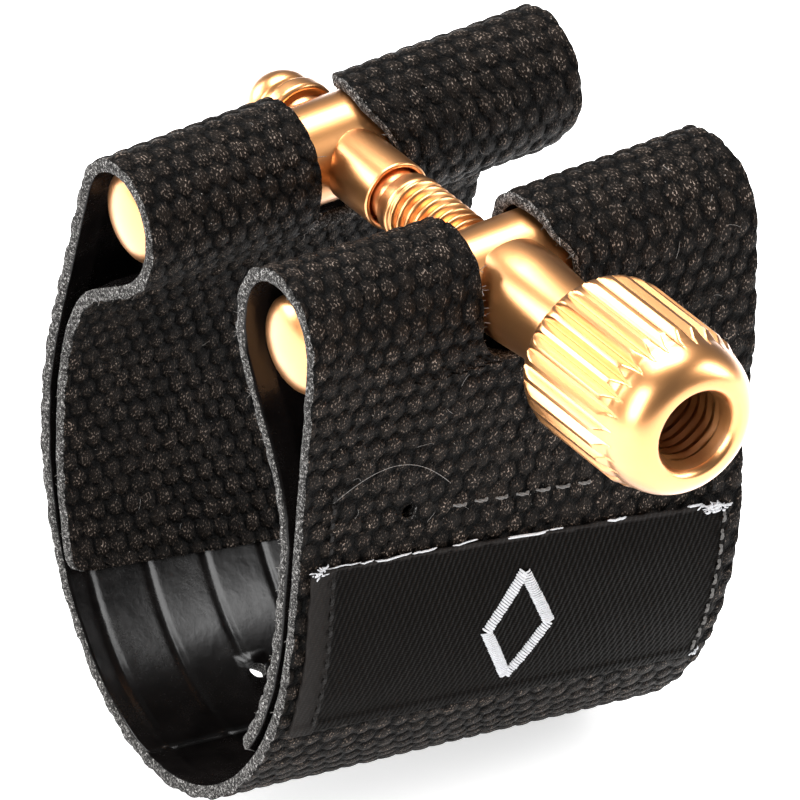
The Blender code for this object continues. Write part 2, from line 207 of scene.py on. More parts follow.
class Section:
    """The strap's middle surface: positions and outward normals by (x, u)."""

    def __init__(self, path, near, samples=900):
        self.xs = np.linspace(-HALF, HALF, 27)
        rows, lengths = [], []
        for x in self.xs:
            yz, run = resample(path(float(x)), samples)
            for _ in range(12):      # rounds the joins between the arcs
                yz[1:-1] = 0.25 * yz[:-2] + 0.5 * yz[1:-1] + 0.25 * yz[2:]
            rows.append(yz)
            lengths.append(run)
        self.grid = np.array(rows)
        self.lengths = np.array(lengths)
        self.n = samples
        self.mean = float(self.lengths.mean())
        du = np.gradient(self.grid, axis=1)
        dx = np.gradient(self.grid, self.xs[1] - self.xs[0], axis=0)
        ty, tz = du[..., 0], du[..., 1]
        normal = unit(np.stack([ty * dx[..., 1] - tz * dx[..., 0], tz, -ty], -1))
        self.normal = -normal if near else normal

    def lookup(self, table, x, u):
        x, u = np.asarray(x, float), np.asarray(u, float)
        fx = np.clip((x + HALF) / (self.xs[1] - self.xs[0]), 0, len(self.xs) - 1.000001)
        fu = np.clip(u * self.n, 0, self.n - 1e-6)
        i, j = fx.astype(int), fu.astype(int)
        a, b = (fx - i)[..., None], (fu - j)[..., None]
        return ((table[i, j] * (1 - b) + table[i, j + 1] * b) * (1 - a)
                + (table[i + 1, j] * (1 - b) + table[i + 1, j + 1] * b) * a)

    def at(self, x, u, lift):
        """Points at x and u, lifted off the middle surface."""
        yz = self.lookup(self.grid, x, u)
        nm = unit(self.lookup(self.normal, x, u))
        p = np.concatenate([np.broadcast_to(np.asarray(x, float)[..., None], yz.shape[:-1] + (1,)), yz], -1)
        return p + nm * np.asarray(lift, float)[..., None]

    def at_arc(self, x, s, lift):
        """The same by arc length up from the bottom of the ring."""
        run = np.interp(x, self.xs, self.lengths)
        return self.at(x, (np.asarray(s, float) + SEAM_Y + 0.15) / run, lift)

    def cross(self, z, rising):
        """u where the middle section crosses height z."""
        row = self.grid[len(self.xs) // 2][:, 1]
        hit = np.nonzero((row[:-1] < z) & (row[1:] >= z) if rising else (row[:-1] >= z) & (row[1:] < z))[0]
        return hit[0] / self.n


FAR = Section(far_path, False)
NEAR = Section(near_path, True)


# ---- noise and weave ----
def hash_noise(ix, iy, seed):
    h = np.sin(ix * 127.1 + iy * 311.7 + seed * 74.7) * 43758.5453
    return h - np.floor(h)


def value_noise(x, y, seed):
    ix, iy = np.floor(x), np.floor(y)
    fx, fy = x - ix, y - iy
    fx, fy = fx * fx * (3 - 2 * fx), fy * fy * (3 - 2 * fy)
    a, b = hash_noise(ix, iy, seed), hash_noise(ix + 1, iy, seed)
    c, d = hash_noise(ix, iy + 1, seed), hash_noise(ix + 1, iy + 1, seed)
    return (a * (1 - fx) + b * fx) * (1 - fy) + (c * (1 - fx) + d * fx) * fy


PITCH_X, PITCH_S = 1.15, 1.22


def weave(x, t):
    """Height 0 to 1 of the staggered yarn floats, with a little unevenness."""
    x = x + 0.10 * (value_noise(x * 0.35, t * 0.35, 3.0) - 0.5) * 2
    t = t + 0.12 * (value_noise(x * 0.3 + 9, t * 0.3, 5.0) - 0.5) * 2
    best = np.zeros_like(x)
    cell = np.zeros_like(x)
    row0 = np.floor(t / PITCH_S)
    for dr in (-1, 0, 1, 2):
        row = row0 + dr
        shift = 0.5 * np.mod(row, 2)
        col0 = np.round(x / PITCH_X - shift)
        for dc in (-1, 0, 1):
            col = col0 + dc
            jx = (hash_noise(col, row, 1.0) - 0.5) * 0.10
            js = (hash_noise(col, row, 2.0) - 0.5) * 0.12
            size = 0.92 + 0.16 * hash_noise(col, row, 4.0)
            dx = (x - (col + shift) * PITCH_X - jx) / (0.56 * size)
            ds = (t - row * PITCH_S - js) / (0.70 * size)
            h = np.sqrt(np.clip(1 - dx * dx - ds * ds, 0, 1)) * (0.85 + 0.2 * hash_noise(col, row, 6.0))
            take = h > best
            best = np.where(take, h, best)
            cell = np.where(take, hash_noise(col, row, 8.0), cell)
    return best, cell


# ---- mesh builder ----
class Builder:
    """Collects vertices in millimetres, faces and the faces' materials."""

    def __init__(self):
        self.points, self.faces, self.mats = [], [], []
        self.count = 0

    def add(self, pts):
        pts = np.asarray(pts, float).reshape(-1, 3)
        ids = np.arange(self.count, self.count + len(pts))
        self.points.append(pts)
        self.count += len(pts)
        return ids

    def face(self, ids, mat=0):
        self.faces.append(tuple(int(i) for i in ids))
        self.mats.append(mat)

    def grid(self, ids, mat=0, keep=None):
        for i in range(ids.shape[0] - 1):
            for j in range(ids.shape[1] - 1):
                if keep is None or keep[i, j]:
                    self.face((ids[i, j], ids[i, j + 1], ids[i + 1, j + 1], ids[i + 1, j]), mat)

    def band(self, a, b, mat=0):
        """Faces between two closed rings with the same number of vertices."""
        for k in range(len(a)):
            m = (k + 1) % len(a)
            self.face((a[k], a[m], b[m], b[k]), mat)

    def tube(self, pts, radius, sides=6, flat=1.0, up=None):
        """A thread along pts with thinner ends; flat below 1 squeezes it along up."""
        pts = np.asarray(pts, float)
        n = len(pts)
        tan = unit(np.gradient(pts, axis=0))
        ref = np.broadcast_to((0.31, 0.47, 0.83) if up is None else up, pts.shape)
        side = unit(np.cross(tan, ref))
        top = np.cross(side, tan)
        r = np.full(n, radius, float)
        r[0] *= 0.45
        r[-1] *= 0.45
        a = np.arange(sides) * 2 * math.pi / sides
        ring = (pts[:, None, :] + r[:, None, None] * (np.cos(a)[None, :, None] * side[:, None, :]
                + flat * np.sin(a)[None, :, None] * top[:, None, :]))
        ids = self.add(ring).reshape(n, sides)
        for i in range(n - 1):
            self.band(ids[i], ids[i + 1])
        self.face(ids[0][::-1])
        self.face(ids[-1])

    def make(self, name, materials):
        mesh = bpy.data.meshes.new(name)
        mesh.from_pydata([tuple(p) for p in np.concatenate(self.points) * MM], [], self.faces)
        for m in materials:
            mesh.materials.append(m)
        mesh.polygons.foreach_set("material_index", self.mats)
        mesh.update()
        bm = bmesh.new()
        bm.from_mesh(mesh)
        bmesh.ops.recalc_face_normals(bm, faces=bm.faces)
        bm.to_mesh(mesh)
        bm.free()
        mesh.shade_smooth()
        obj = bpy.data.objects.new(name, mesh)
        scene.collection.objects.link(obj)
        return obj


def bridge(build, fine, coarse, where, mat):
    """Joins a closed fine chain of vertices to a closed coarse one."""
    n, m = len(fine), len(coarse)
    for k in range(m):
        a, b = where[k], where[(k + 1) % m]
        if b <= a:
            b += n
        c0, c1 = coarse[k], coarse[(k + 1) % m]
        mid = (a + b) // 2
        for f in range(a, mid):
            build.face((c0, fine[f % n], fine[(f + 1) % n]), mat)
        build.face((c0, fine[mid % n], c1), mat)
        for f in range(mid, b):
            build.face((c1, fine[f % n], fine[(f + 1) % n]), mat)


# ---- materials ----
class Nodes:
    """A short way to write a node tree."""

    def __init__(self, name):
        self.mat = bpy.data.materials.new(name)
        self.mat.use_nodes = True
        self.tree = self.mat.node_tree
        self.bsdf = self.tree.nodes["Principled BSDF"]

    def new(self, kind, **props):
        inputs = props.pop("inputs", {})
        node = self.tree.nodes.new(kind)
        for k, v in props.items():
            setattr(node, k, v)
        for k, v in inputs.items():
            self.put(node, k, v)
        return node

    def put(self, node, key, value):
        sock = node.inputs[key]
        if isinstance(value, bpy.types.NodeSocket):
            self.tree.links.new(value, sock)
        elif hasattr(value, "outputs"):
            self.tree.links.new(value.outputs[0], sock)
        else:
            sock.default_value = value
        return sock

    def math(self, op, a, b):
        node = self.new("ShaderNodeMath", operation=op)
        self.put(node, 0, a)
        self.put(node, 1, b)
        return node.outputs[0]

    def times(self, a, b):
        return self.math("MULTIPLY", a, b)

    def plus(self, a, b):
        return self.math("ADD", a, b)

    def scaled(self, vector, scale, rotation=(0, 0, 0)):
        return self.new("ShaderNodeMapping", inputs={"Vector": vector, "Scale": scale,
                                                     "Rotation": rotation}).outputs[0]

    def noise(self, vector, scale, detail=3.0, rough=0.5):
        return self.new("ShaderNodeTexNoise", inputs={"Vector": vector, "Scale": scale, "Detail": detail,
                                                      "Roughness": rough}).outputs[0]

    def ramp(self, value, stops):
        node = self.new("ShaderNodeValToRGB")
        els = node.color_ramp.elements
        while len(els) < len(stops):
            els.new(0.5)
        for el, (pos, col) in zip(els, stops):
            el.position = pos
            el.color = (*col, 1.0) if len(col) == 3 else col
        self.put(node, "Fac", value)
        return node.outputs[0]

    def mix(self, fac, a, b, blend="MIX"):
        node = self.new("ShaderNodeMix", data_type="RGBA", blend_type=blend)
        self.put(node, 0, fac)
        for key, v in ((6, a), (7, b)):
            self.put(node, key, (*v, 1.0) if isinstance(v, tuple) and len(v) == 3 else v)
        return node.outputs[2]

    def attribute(self, name):
        return self.new("ShaderNodeAttribute", attribute_name=name)

    def bump(self, height, strength, distance, normal=None):
        node = self.new("ShaderNodeBump", inputs={"Height": height, "Strength": strength,
                                                  "Distance": distance * MM})
        if normal is not None:
            self.put(node, "Normal", normal)
        return node.outputs[0]

    def surface(self, **values):
        for k, v in values.items():
            self.put(self.bsdf, k.replace("_", " "), v if not (isinstance(v, tuple) and len(v) == 3)
                     else (*v, 1.0))
        return self.mat


BLACK, WHITE = (0, 0, 0), (1, 1, 1)


def object_mm(n):
    """Object coordinates in millimetres."""
    coord = n.new("ShaderNodeTexCoord").outputs["Object"]
    return n.scaled(coord, (1000.0, 1000.0, 1000.0))


def woven_material():
    n = Nodes("woven_yarn")
    flat = n.attribute("cloth").outputs["Vector"]       # (x, t, float shade)
    weave_h = n.attribute("weave").outputs["Fac"]
    parts = n.new("ShaderNodeSeparateXYZ", inputs={0: flat})
    fibre = n.noise(n.scaled(flat, (9.0, 1.3, 0.0), (0, 0, 0.12)), 1.0, 4.0, 0.65)
    fine = n.noise(n.scaled(flat, (26.0, 4.0, 0.0), (0, 0, -0.1)), 1.0, 2.0, 0.6)
    cloud = n.noise(n.scaled(flat, (0.22, 0.22, 0.0)), 1.0, 2.0, 0.5)
    # colour by yarn height: near black in the pits between floats (painted shade) and lighter on the float
    # tops (painted sheen)
    tone = n.ramp(weave_h, [(0.05, (0.0003, 0.0003, 0.0003)), (0.35, (0.0022, 0.0016, 0.0012)),
                            (0.62, (0.0070, 0.0048, 0.0034)), (1.0, (0.0130, 0.0088, 0.0062))])
    tone = n.mix(n.times(fibre, 0.8), tone, (0.0012, 0.0010, 0.0009))
    grain = n.noise(n.scaled(flat, (9.5, 5.5, 0.0), (0, 0, 0.3)), 1.0, 1.2, 0.5)
    patch = n.noise(n.scaled(flat, (0.9, 0.9, 0.0)), 1.0, 2.0, 0.6)
    patch = n.ramp(patch, [(0.35, (0.25, 0.25, 0.25)), (0.62, WHITE)])
    fleck = n.ramp(grain, [(0.58, BLACK), (0.66, WHITE)])
    # fibre flecks over patches, in a colour graded by yarn height: real flecks, plus a painted highlight that
    # makes them brightest on the float tops
    fleck_and_sheen = n.ramp(weave_h, [(0.20, (0.0020, 0.0018, 0.0016)), (0.55, (0.100, 0.076, 0.060)),
                            (1.0, (0.330, 0.260, 0.215))])
    tone = n.mix(n.times(n.times(fleck, patch), 0.85), tone, fleck_and_sheen)
    shade = n.plus(n.times(parts.outputs[2], 0.7), 0.65)
    shade = n.new("ShaderNodeCombineColor", inputs={0: shade, 1: shade, 2: shade})
    tone = n.mix(1.0, tone, shade, "MULTIPLY")
    dust = n.new("ShaderNodeTexVoronoi", feature="F1", inputs={"Vector": n.scaled(flat, (1.1, 1.1, 0.0)),
                                                               "Scale": 2.6, "Randomness": 1.0})
    speck = n.math("LESS_THAN", dust.outputs["Distance"], 0.075)
    some = n.math("GREATER_THAN", n.noise(flat, 3.1, 1.0), 0.56)
    tone = n.mix(n.times(speck, n.times(some, 0.75)), tone, (0.42, 0.39, 0.36))
    rough = n.plus(n.times(cloud, 0.14), 0.46)
    nrm = n.bump(weave_h, 0.9, 0.28)
    nrm = n.bump(fibre, 0.9, 0.14, nrm)
    nrm = n.bump(fine, 0.8, 0.08, nrm)
    nrm = n.bump(grain, 0.9, 0.12, nrm)
    return n.surface(Base_Color=tone, Roughness=rough, Normal=nrm, Specular_IOR_Level=0.07)


def cut_edge_material():
    n = Nodes("cut_edge_fibres")
    mm = object_mm(n)
    a = n.noise(mm, 5.5, 4.0, 0.75)
    b = n.noise(mm, 13.0, 3.0, 0.7)
    tone = n.ramp(a, [(0.36, (0.004, 0.0038, 0.0036)), (0.48, (0.04, 0.038, 0.036)),
                      (0.56, (0.26, 0.25, 0.24)), (0.68, (0.80, 0.77, 0.75))])
    tone = n.mix(n.ramp(b, [(0.42, WHITE), (0.56, BLACK)]), tone, (0.008, 0.007, 0.0065))
    nrm = n.bump(b, 0.9, 0.12)
    nrm = n.bump(a, 0.8, 0.2, nrm)
    return n.surface(Base_Color=tone, Roughness=n.plus(n.times(a, 0.2), 0.7), Normal=nrm,
                     Specular_IOR_Level=0.15)


def liner_material():
    n = Nodes("rubber_liner")
    mm = object_mm(n)
    cloud = n.noise(mm, 0.35, 3.0, 0.6)
    grain = n.noise(mm, 7.0, 3.0, 0.6)
    tone = n.ramp(cloud, [(0.3, (0.0015, 0.0012, 0.0012)), (0.7, (0.0055, 0.0045, 0.0042))])
    rough = n.plus(n.times(grain, 0.15), n.times(cloud, 0.20))
    return n.surface(Base_Color=tone, Roughness=n.plus(rough, 0.07),
                     Normal=n.bump(grain, 0.15, 0.03, n.bump(cloud, 0.10, 0.4)),
                     Specular_IOR_Level=0.24)


def gold_material(name, along, rough=0.31, tone=1.0):
    """Lacquered satin gold with turning marks across the given axis and a few dull spots."""
    n = Nodes(name)
    mm = object_mm(n)
    marks = n.noise(n.scaled(mm, tuple(14.0 if k == along else 0.35 for k in range(3))), 1.0, 3.0, 0.6)
    cloud = n.noise(mm, 0.45, 3.0, 0.55)
    spot = n.noise(mm, 4.5, 4.0, 0.7)
    wear = n.ramp(spot, [(0.60, BLACK), (0.72, WHITE)])
    light, deep, dull = (tuple(tone * c for c in rgb)
                         for rgb in ((0.84, 0.38, 0.115), (0.76, 0.32, 0.08), (0.56, 0.23, 0.06)))
    base = n.mix(cloud, light, deep)
    base = n.mix(n.times(wear, 0.25), base, dull)
    r = n.plus(n.times(cloud, 0.08), rough - 0.04)
    r = n.plus(r, n.times(wear, 0.08))
    r = n.plus(r, n.times(marks, 0.04))
    return n.surface(Base_Color=base, Metallic=1.0, Roughness=r, Coat_Weight=1.0, Coat_Roughness=0.28,
                     Coat_IOR=1.75, Normal=n.bump(marks, 0.10, 0.015, n.bump(spot, 0.06, 0.02)))


def satin_material():
    n = Nodes("black_satin_twill")
    flat = n.attribute("cloth").outputs["Vector"]
    warp = n.noise(n.scaled(flat, (0.5, 0.5, 0.0)), 1.0, 2.0, 0.5)
    lines = n.new("ShaderNodeTexWave", wave_type="BANDS", bands_direction="X",
                  inputs={"Vector": n.scaled(flat, (1.0, 1.0, 0.0), (0, 0, 0.33)), "Scale": 1.05,
                          "Distortion": 0.35, "Detail": 1.0, "Detail Scale": 2.0}).outputs[1]
    yarn = n.new("ShaderNodeTexWave", wave_type="BANDS", bands_direction="Y",
                 inputs={"Vector": flat, "Scale": 2.1, "Distortion": 0.8, "Detail": 2.0}).outputs[1]
    fuzz = n.noise(n.scaled(flat, (14.0, 14.0, 0.0)), 1.0, 3.0, 0.7)
    tone = n.mix(lines, (0.0005, 0.0004, 0.0003), (0.0050, 0.0036, 0.0027))
    tone = n.mix(n.times(yarn, 0.35), tone, (0.0010, 0.0009, 0.0008))
    tone = n.mix(n.times(n.ramp(fuzz, [(0.62, BLACK), (0.8, WHITE)]), 0.5), tone,
                 (0.012, 0.010, 0.009))
    hem = n.attribute("hem").outputs["Fac"]
    tone = n.mix(n.times(hem, n.plus(n.times(fuzz, 0.7), 0.15)), tone,
                 (0.030, 0.027, 0.0255))
    height = n.plus(n.times(lines, 0.75), n.times(yarn, 0.25))
    return n.surface(Base_Color=tone, Roughness=n.plus(n.times(warp, 0.15), 0.42),
                     Normal=n.bump(height, 0.55, 0.09, n.bump(fuzz, 0.3, 0.03)),
                     Specular_IOR_Level=0.03)


def thread_material(name, dark, light):
    n = Nodes(name)
    mm = object_mm(n)
    ply = n.noise(mm, 9.0, 3.0, 0.7)
    fuzz = n.noise(mm, 26.0, 2.0, 0.6)
    tone = n.mix(ply, dark, light)
    return n.surface(Base_Color=tone, Roughness=n.plus(n.times(fuzz, 0.2), 0.6),
                     Normal=n.bump(ply, 0.6, 0.05, n.bump(fuzz, 0.4, 0.02)), Specular_IOR_Level=0.2)


WOVEN = woven_material()
EDGE = cut_edge_material()
LINER = liner_material()
SATIN = satin_material()
THREAD_BLACK = thread_material("sewing_thread_black", (0.002, 0.0018, 0.0016), (0.018, 0.016, 0.015))
THREAD_GREY = thread_material("sewing_thread_grey", (0.012, 0.011, 0.011), (0.24, 0.23, 0.22))
THREAD_WHITE = thread_material("embroidery_thread_white", (0.30, 0.30, 0.31), (0.80, 0.81, 0.84))
LINT = thread_material("lint_fibre", (0.06, 0.055, 0.052), (0.40, 0.38, 0.36))


def put_attribute(obj, name, kind, values):
    att = obj.data.attributes.new(name, kind, "POINT")
    att.data.foreach_set("vector" if kind == "FLOAT_VECTOR" else "value",
                         np.asarray(values, np.float32).ravel())


def stands_for(obj, body, node):
    """The piece rides on the body and stands for the CAD node, which is hidden."""
    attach(obj, body)
    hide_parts(node)


# ---- the strap ----
def spread(stops, at):
    """Smooth interpolation through (position, value) stops."""
    p = np.array(stops, float)
    k = np.clip(np.searchsorted(p[:, 0], at, side="right") - 1, 0, len(p) - 2)
    f = np.clip((at - p[k, 0]) / (p[k + 1, 0] - p[k, 0]), 0, 1)
    f = f * f * (3 - 2 * f)
    return p[k, 1] * (1 - f) + p[k + 1, 1] * f


def rounding(distance, radius):
    """How far a corner of the radius steps in, at a distance from its edge."""
    arc_in = radius - np.sqrt(np.clip(radius * radius - (radius - distance) ** 2, 0, None))
    return np.where(distance < radius, arc_in, 0.0)


def rectangle(a, b, c, d):
    """Grid indices round a rectangle, in order."""
    return ([(a, j) for j in range(c, d)] + [(i, d) for i in range(a, b)]
            + [(b, j) for j in range(d, c, -1)] + [(i, c) for i in range(b, a, -1)])


def groove(x):
    """Shallow ridges run round the liner, parallel to the rims."""
    d = np.abs(np.mod(x + 1.1, 3.9) - 1.95) - 1.95
    return 0.07 * np.exp(-(d / 0.22) ** 2)


def strap_piece(name, sec, near, window, hole, cell=(0.205, 0.195)):
    """One half of the strap, as a closed mesh.

    window says where the loop is cut away for the screw, hole = (x, u) is the punched hole, and cell
    is the outer face's grid in u and x. The inner face keeps every fourth row.
    """
    every = 4
    total = sec.mean

    def along(u):
        """The cloth's own coordinate round the ring, so that the weave runs on across the seam."""
        return SEAM_Y + u * total * (-1.0 if near else 1.0)

    u1, u2 = window["low"], window["high"]
    spans = [(a, b, every * max(1, round((b - a) * total / cell[0] / every)))
             for a, b in ((0.0, u1), (u1, u2), (u2, 1.0))]
    us = np.concatenate([np.linspace(*span, endpoint=False) for span in spans] + [[1.0]])
    i1, i2 = spans[0][2], spans[0][2] + spans[1][2]
    R = len(us) - 1
    row = np.arange(R + 1)
    mid_x = -0.3
    yz = sec.lookup(sec.grid, np.full(R + 1, mid_x), us)
    bar_y = NEAR_Y if near else FAR_Y
    phi = np.degrees(np.arctan2(yz[:, 1] - bar_z(mid_x), yz[:, 0] - bar_y))
    if near:
        phi = np.mod(180.0 - phi, 360.0)
        phi = np.where(phi > 300.0, phi - 360.0, phi)
    xa = spread(window["left"], phi)
    xb = spread(window["right"], phi)
    inside = (row >= i1) & (row <= i2)
    # rounded window corners, and straight columns beyond the window
    run = us * total
    for edge in (i1, i2):
        k = np.where(inside, rounding(np.abs(run - run[edge]), window["corner"]), 0.0)
        xa, xb = xa + k, xb - k
    xa, xb = (np.where(row < i1, v[i1], np.where(row > i2, v[i2], v)) for v in (xa, xb))
    # rims, with rounded corners at the free end and small raggedness
    k = rounding(run[-1] - run, TIP_ROUND)
    left = k - HALF
    right = HALF - k - spread(window["trim"], us)
    rag = 0.05 * (value_noise(run * 1.3, run * 0, 11.0) - 0.5) + 0.045 * (rng.random(R + 1) - 0.5)
    left = left + rag
    right = right + np.roll(rag, 37)
    # columns left of the window, across it and right of it
    columns = [max(8, round(wide / cell[1])) for wide in (HALF - 3.0, 5.4, HALF - 2.4)]
    fa, fm, fb = (np.linspace(0, 1, c + 1) for c in columns)
    X = np.concatenate([left[:, None] + (xa - left)[:, None] * fa[None, :-1],
                        xa[:, None] + (xb - xa)[:, None] * fm[None, :-1],
                        xb[:, None] + (right - xb)[:, None] * fb[None, :]], 1)
    C = X.shape[1] - 1
    jA, jB = columns[0], columns[0] + columns[1]
    U = np.broadcast_to(us[:, None], X.shape).copy()

    build = Builder()
    cloth, heights = [], []

    def outer_points(x, u):
        t = along(u)
        h, tint = weave(x, t)
        wavy = 0.06 * (value_noise(x * 0.18, t * 0.18, 21.0) - 0.5)
        grit = 0.018 * (value_noise(x * 4.5, t * 2.2, 23.0) - 0.5)
        ids = build.add(sec.at(x, u, BASE_OUT + BUMP * h + wavy + grit))
        cloth.append(np.stack([x, t, tint], -1).reshape(-1, 3))
        heights.append(h.ravel())
        return ids

    def plain_points(pts, x, u):
        ids = build.add(pts)
        cloth.append(np.stack([np.ravel(x), SEAM_Y + np.ravel(u) * total, np.full(np.size(x), 0.5)], -1))
        heights.append(np.full(np.size(x), 0.5))
        return ids

    # outer face, without the window and the rows round the hole
    drop = np.zeros((R + 1, C + 1), bool)
    drop[i1 + 1:i2, jA + 1:jB] = True
    hx, hu = hole
    hi = every * round(np.argmin(np.abs(us - hu)) / every)
    hj = int(np.argmin(np.abs(X[hi] - hx)))
    bi, bj = 8, 6
    drop[hi - bi + 1:hi + bi, hj - bj + 1:hj + bj] = True
    ids = -np.ones((R + 1, C + 1), int)
    ids[~drop] = outer_points(X[~drop], U[~drop])
    keep = np.ones((R, C), bool)
    keep[i1:i2, jA:jB] = False
    keep[hi - bi:hi + bi, hj - bj:hj + bj] = False
    build.grid(ids, 0, keep)

    # inner face, with fewer rows
    rows = np.arange(0, R + 1, every)
    inner = -np.ones((R + 1, C + 1), int)
    mask = np.zeros((R + 1, C + 1), bool)
    mask[rows] = True
    mask &= ~drop
    px, pu = X[mask], U[mask]
    inner[mask] = plain_points(sec.at(px, pu, BASE_IN - groove(px)), px, pu)
    small = inner[rows]
    keep_small = np.ones((len(rows) - 1, C), bool)
    keep_small[i1 // every:i2 // every, jA:jB] = False
    keep_small[(hi - bi) // every:(hi + bi) // every, hj - bj:hj + bj] = False
    build.grid(small, 2, keep_small)

    def coarse_chain(cells):
        """The inner face's vertices along a chain of cells, and their places in the chain."""
        where = [q for q, c in enumerate(cells) if c[0] % every == 0]
        return [inner[cells[q]] for q in where], where

    def cut_edge(cells, way, steps=4):
        """The puffed cut edge from the outer face to the inner one; way is -1 round an opening."""
        ii, jj = np.array(cells).T
        xs, uu = X[ii, jj], U[ii, jj]
        dx = np.where(jj == jj.min(), -1.0, np.where(jj == jj.max(), 1.0, 0.0)) * way
        du = np.where(ii == ii.min(), -1.0, np.where(ii == ii.max(), 1.0, 0.0)) * way
        top = BASE_OUT + BUMP * weave(xs, along(uu))[0]
        prev = ids[ii, jj]
        for f in np.arange(1, steps) / steps:
            lift = top * (1 - f) + BASE_IN * f
            puff = 0.10 * math.sin(math.pi * f) + 0.10 * (rng.random(len(prev)) - 0.5)
            ring = plain_points(sec.at(xs + dx * puff, uu + du * puff / total, lift), xs, uu)
            build.band(prev, ring, 1)
            prev = ring
        bridge(build, prev, *coarse_chain(cells), 1)

    cut_edge(rectangle(0, R, 0, C), 1.0)
    cut_edge(rectangle(i1, i2, jA, jB), -1.0)

    # the punched hole
    cells = rectangle(hi - bi, hi + bi, hj - bj, hj + bj)
    ii, jj = np.array(cells).T
    sx, su = X[ii, jj], U[ii, jj]
    ang = np.arctan2((su - hu) * total, sx - hx)
    cx = hx + HOLE_R * np.cos(ang) * (1 + 0.05 * np.sin(3 * ang))
    cu = hu + HOLE_R * np.sin(ang) / total
    prev = ids[ii, jj]
    for k in range(1, 8):
        f = k / 7
        ring = outer_points(sx * (1 - f) + cx * f, su * (1 - f) + cu * f)
        build.band(prev, ring, 0)
        prev = ring
    for k in range(1, 4):
        lift = BASE_OUT * (1 - k / 3) + BASE_IN * k / 3
        ring = plain_points(sec.at(cx, cu, np.full(len(prev), lift)), cx, cu)
        build.band(prev, ring, 1)
        prev = ring
    bridge(build, prev, *coarse_chain(cells), 2)

    obj = build.make(name, [WOVEN, EDGE, LINER])
    put_attribute(obj, "cloth", "FLOAT_VECTOR", np.concatenate(cloth))
    put_attribute(obj, "weave", "FLOAT", np.concatenate(heights))
    step = np.gradient(us) * total
    area = float(((right - left) * step).sum() - ((xb - xa) * step)[i1:i2].sum())
    return obj, area, (us, left, right, xa, xb, i1, i2)


# left and right stops are (angle round the crossbar, x); trim is (u, how much the right rim is cut in)
far_window = {"low": FAR.cross(BAR_Z - 4.2, True), "high": FAR.cross(BAR_Z - 4.2, False),
              "corner": 0.8,
              "left": [(-80, -3.2), (60, -3.2), (200, -3.15), (260, -3.15)],
              "right": [(-80, 2.6), (20, 2.6), (70, 0.9), (110, 0.8), (165, 2.0), (200, 2.3), (260, 2.3)],
              "trim": [(0, 0), (0.61, 0), (0.665, 1.2), (0.72, 0.7), (0.80, 0.3), (0.92, 0), (1, 0)]}
near_window = {"low": NEAR.cross(BAR_Z - 3.05, True), "high": NEAR.cross(BAR_Z - 3.6, False),
               "corner": 2.3,
               "left": [(-60, -3.3), (20, -3.25), (50, -3.0), (200, -2.95), (260, -2.95)],
               "right": [(-60, 3.2), (25, 3.1), (55, 2.2), (100, 1.9), (130, 2.3), (260, 2.4)],
               "trim": [(0, 0), (1, 0)]}

far_hole_u = (5.35 - SEAM_Y) / FAR.mean
near_hole_u = (30.55 + SEAM_Y) / NEAR.mean

strap_far, far_area, far_data = strap_piece("strap_far", FAR, False, far_window, (-4.5, far_hole_u))
strap_near, near_area, near_data = strap_piece("strap_near", NEAR, True, near_window, (-7.4, near_hole_u))
stands_for(strap_far, "far_side", "strap_far_half")
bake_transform(strap_near)
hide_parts("strap_near_half")


# ---- lint and stray fibres ----
def lint_piece(name, sec, data, count, strays):
    us, left, right, xa, xb, i1, i2 = data
    near = sec is NEAR
    build = Builder()

    def hair(x, u, base, out, length, radius):
        p0 = sec.at(np.array([x]), np.array([u]), np.array([base]))[0]
        d = np.array([out[0], 0.0, 0.0]) + rng.normal(0, 0.45, 3)
        nrm = sec.at(np.array([x]), np.array([u]), np.array([base + 1.0]))[0] - p0
        d = unit(d + nrm * out[1])
        bend = rng.normal(0, 0.5, 3)
        pts = [p0 - d * 0.06 + d * length * f + bend * length * f * f * 0.6 for f in np.linspace(0, 1, 5)]
        build.tube(pts, radius, 3)

    R = len(us) - 1
    for _ in range(count):
        i = int(rng.integers(2, R - 2))
        pick = rng.random()
        lift = rng.uniform(BASE_IN + 0.12, BASE_OUT + 0.1)
        if pick < 0.84:
            rim, way = (left, -0.9) if pick < 0.42 else (right, 0.9)
            hair(rim[i], us[i], lift, (way, 0.25), rng.uniform(0.08, 0.34), 0.015)
        else:
            i = int(rng.integers(i1 + 6, i2 - 6))
            rim, way = (xa, 0.9) if rng.random() < 0.5 else (xb, -0.9)
            hair(rim[i], us[i], lift, (way, 0.3), rng.uniform(0.12, 0.5), 0.016)
    for _ in range(strays):
        i = int(rng.integers(8, R - 8))
        x = rng.uniform(left[i] + 1, right[i] - 1)
        if i1 - 4 < i < i2 + 4 and xa[i] - 1.5 < x < xb[i] + 1.5:
            continue
        k = 9
        a = rng.uniform(0, 2 * math.pi)
        turn = rng.normal(0, 1.5)
        size = rng.uniform(0.3, 1.1)
        xs, ts = [x], [us[i] * sec.mean]
        for q in range(k):
            a += turn / k
            xs.append(xs[-1] + math.cos(a) * size / k)
            ts.append(ts[-1] + math.sin(a) * size / k)
        xs, uu = np.array(xs), np.clip(np.array(ts) / sec.mean, 0.001, 0.999)
        if near and (np.abs(uu * sec.mean - 22.5) < 7.5).any():
            continue
        build.tube(sec.at(xs, uu, np.full(len(xs), FACE + 0.005)), 0.011, 3)
    return build.make(name, [LINT])


lint_far = lint_piece("lint_far", FAR, far_data, 760, 46)
lint_near = lint_piece("lint_near", NEAR, near_data, 760, 46)
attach(lint_far, "far_side")
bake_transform(lint_near)

# one long stray fibre over the near loop
build = Builder()
k = np.linspace(0, 1, 26)
build.tube(NEAR.at_arc(-12.5 + 7.6 * k, 31.2 + 2.6 * np.sin(k * 2.6) - 1.4 * k,
                       FACE + 0.03 + 0.12 * np.sin(k * math.pi) ** 2), 0.016, 5)
long_fibre = build.make("stray_fibre", [LINT])
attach(long_fibre, "near_band")


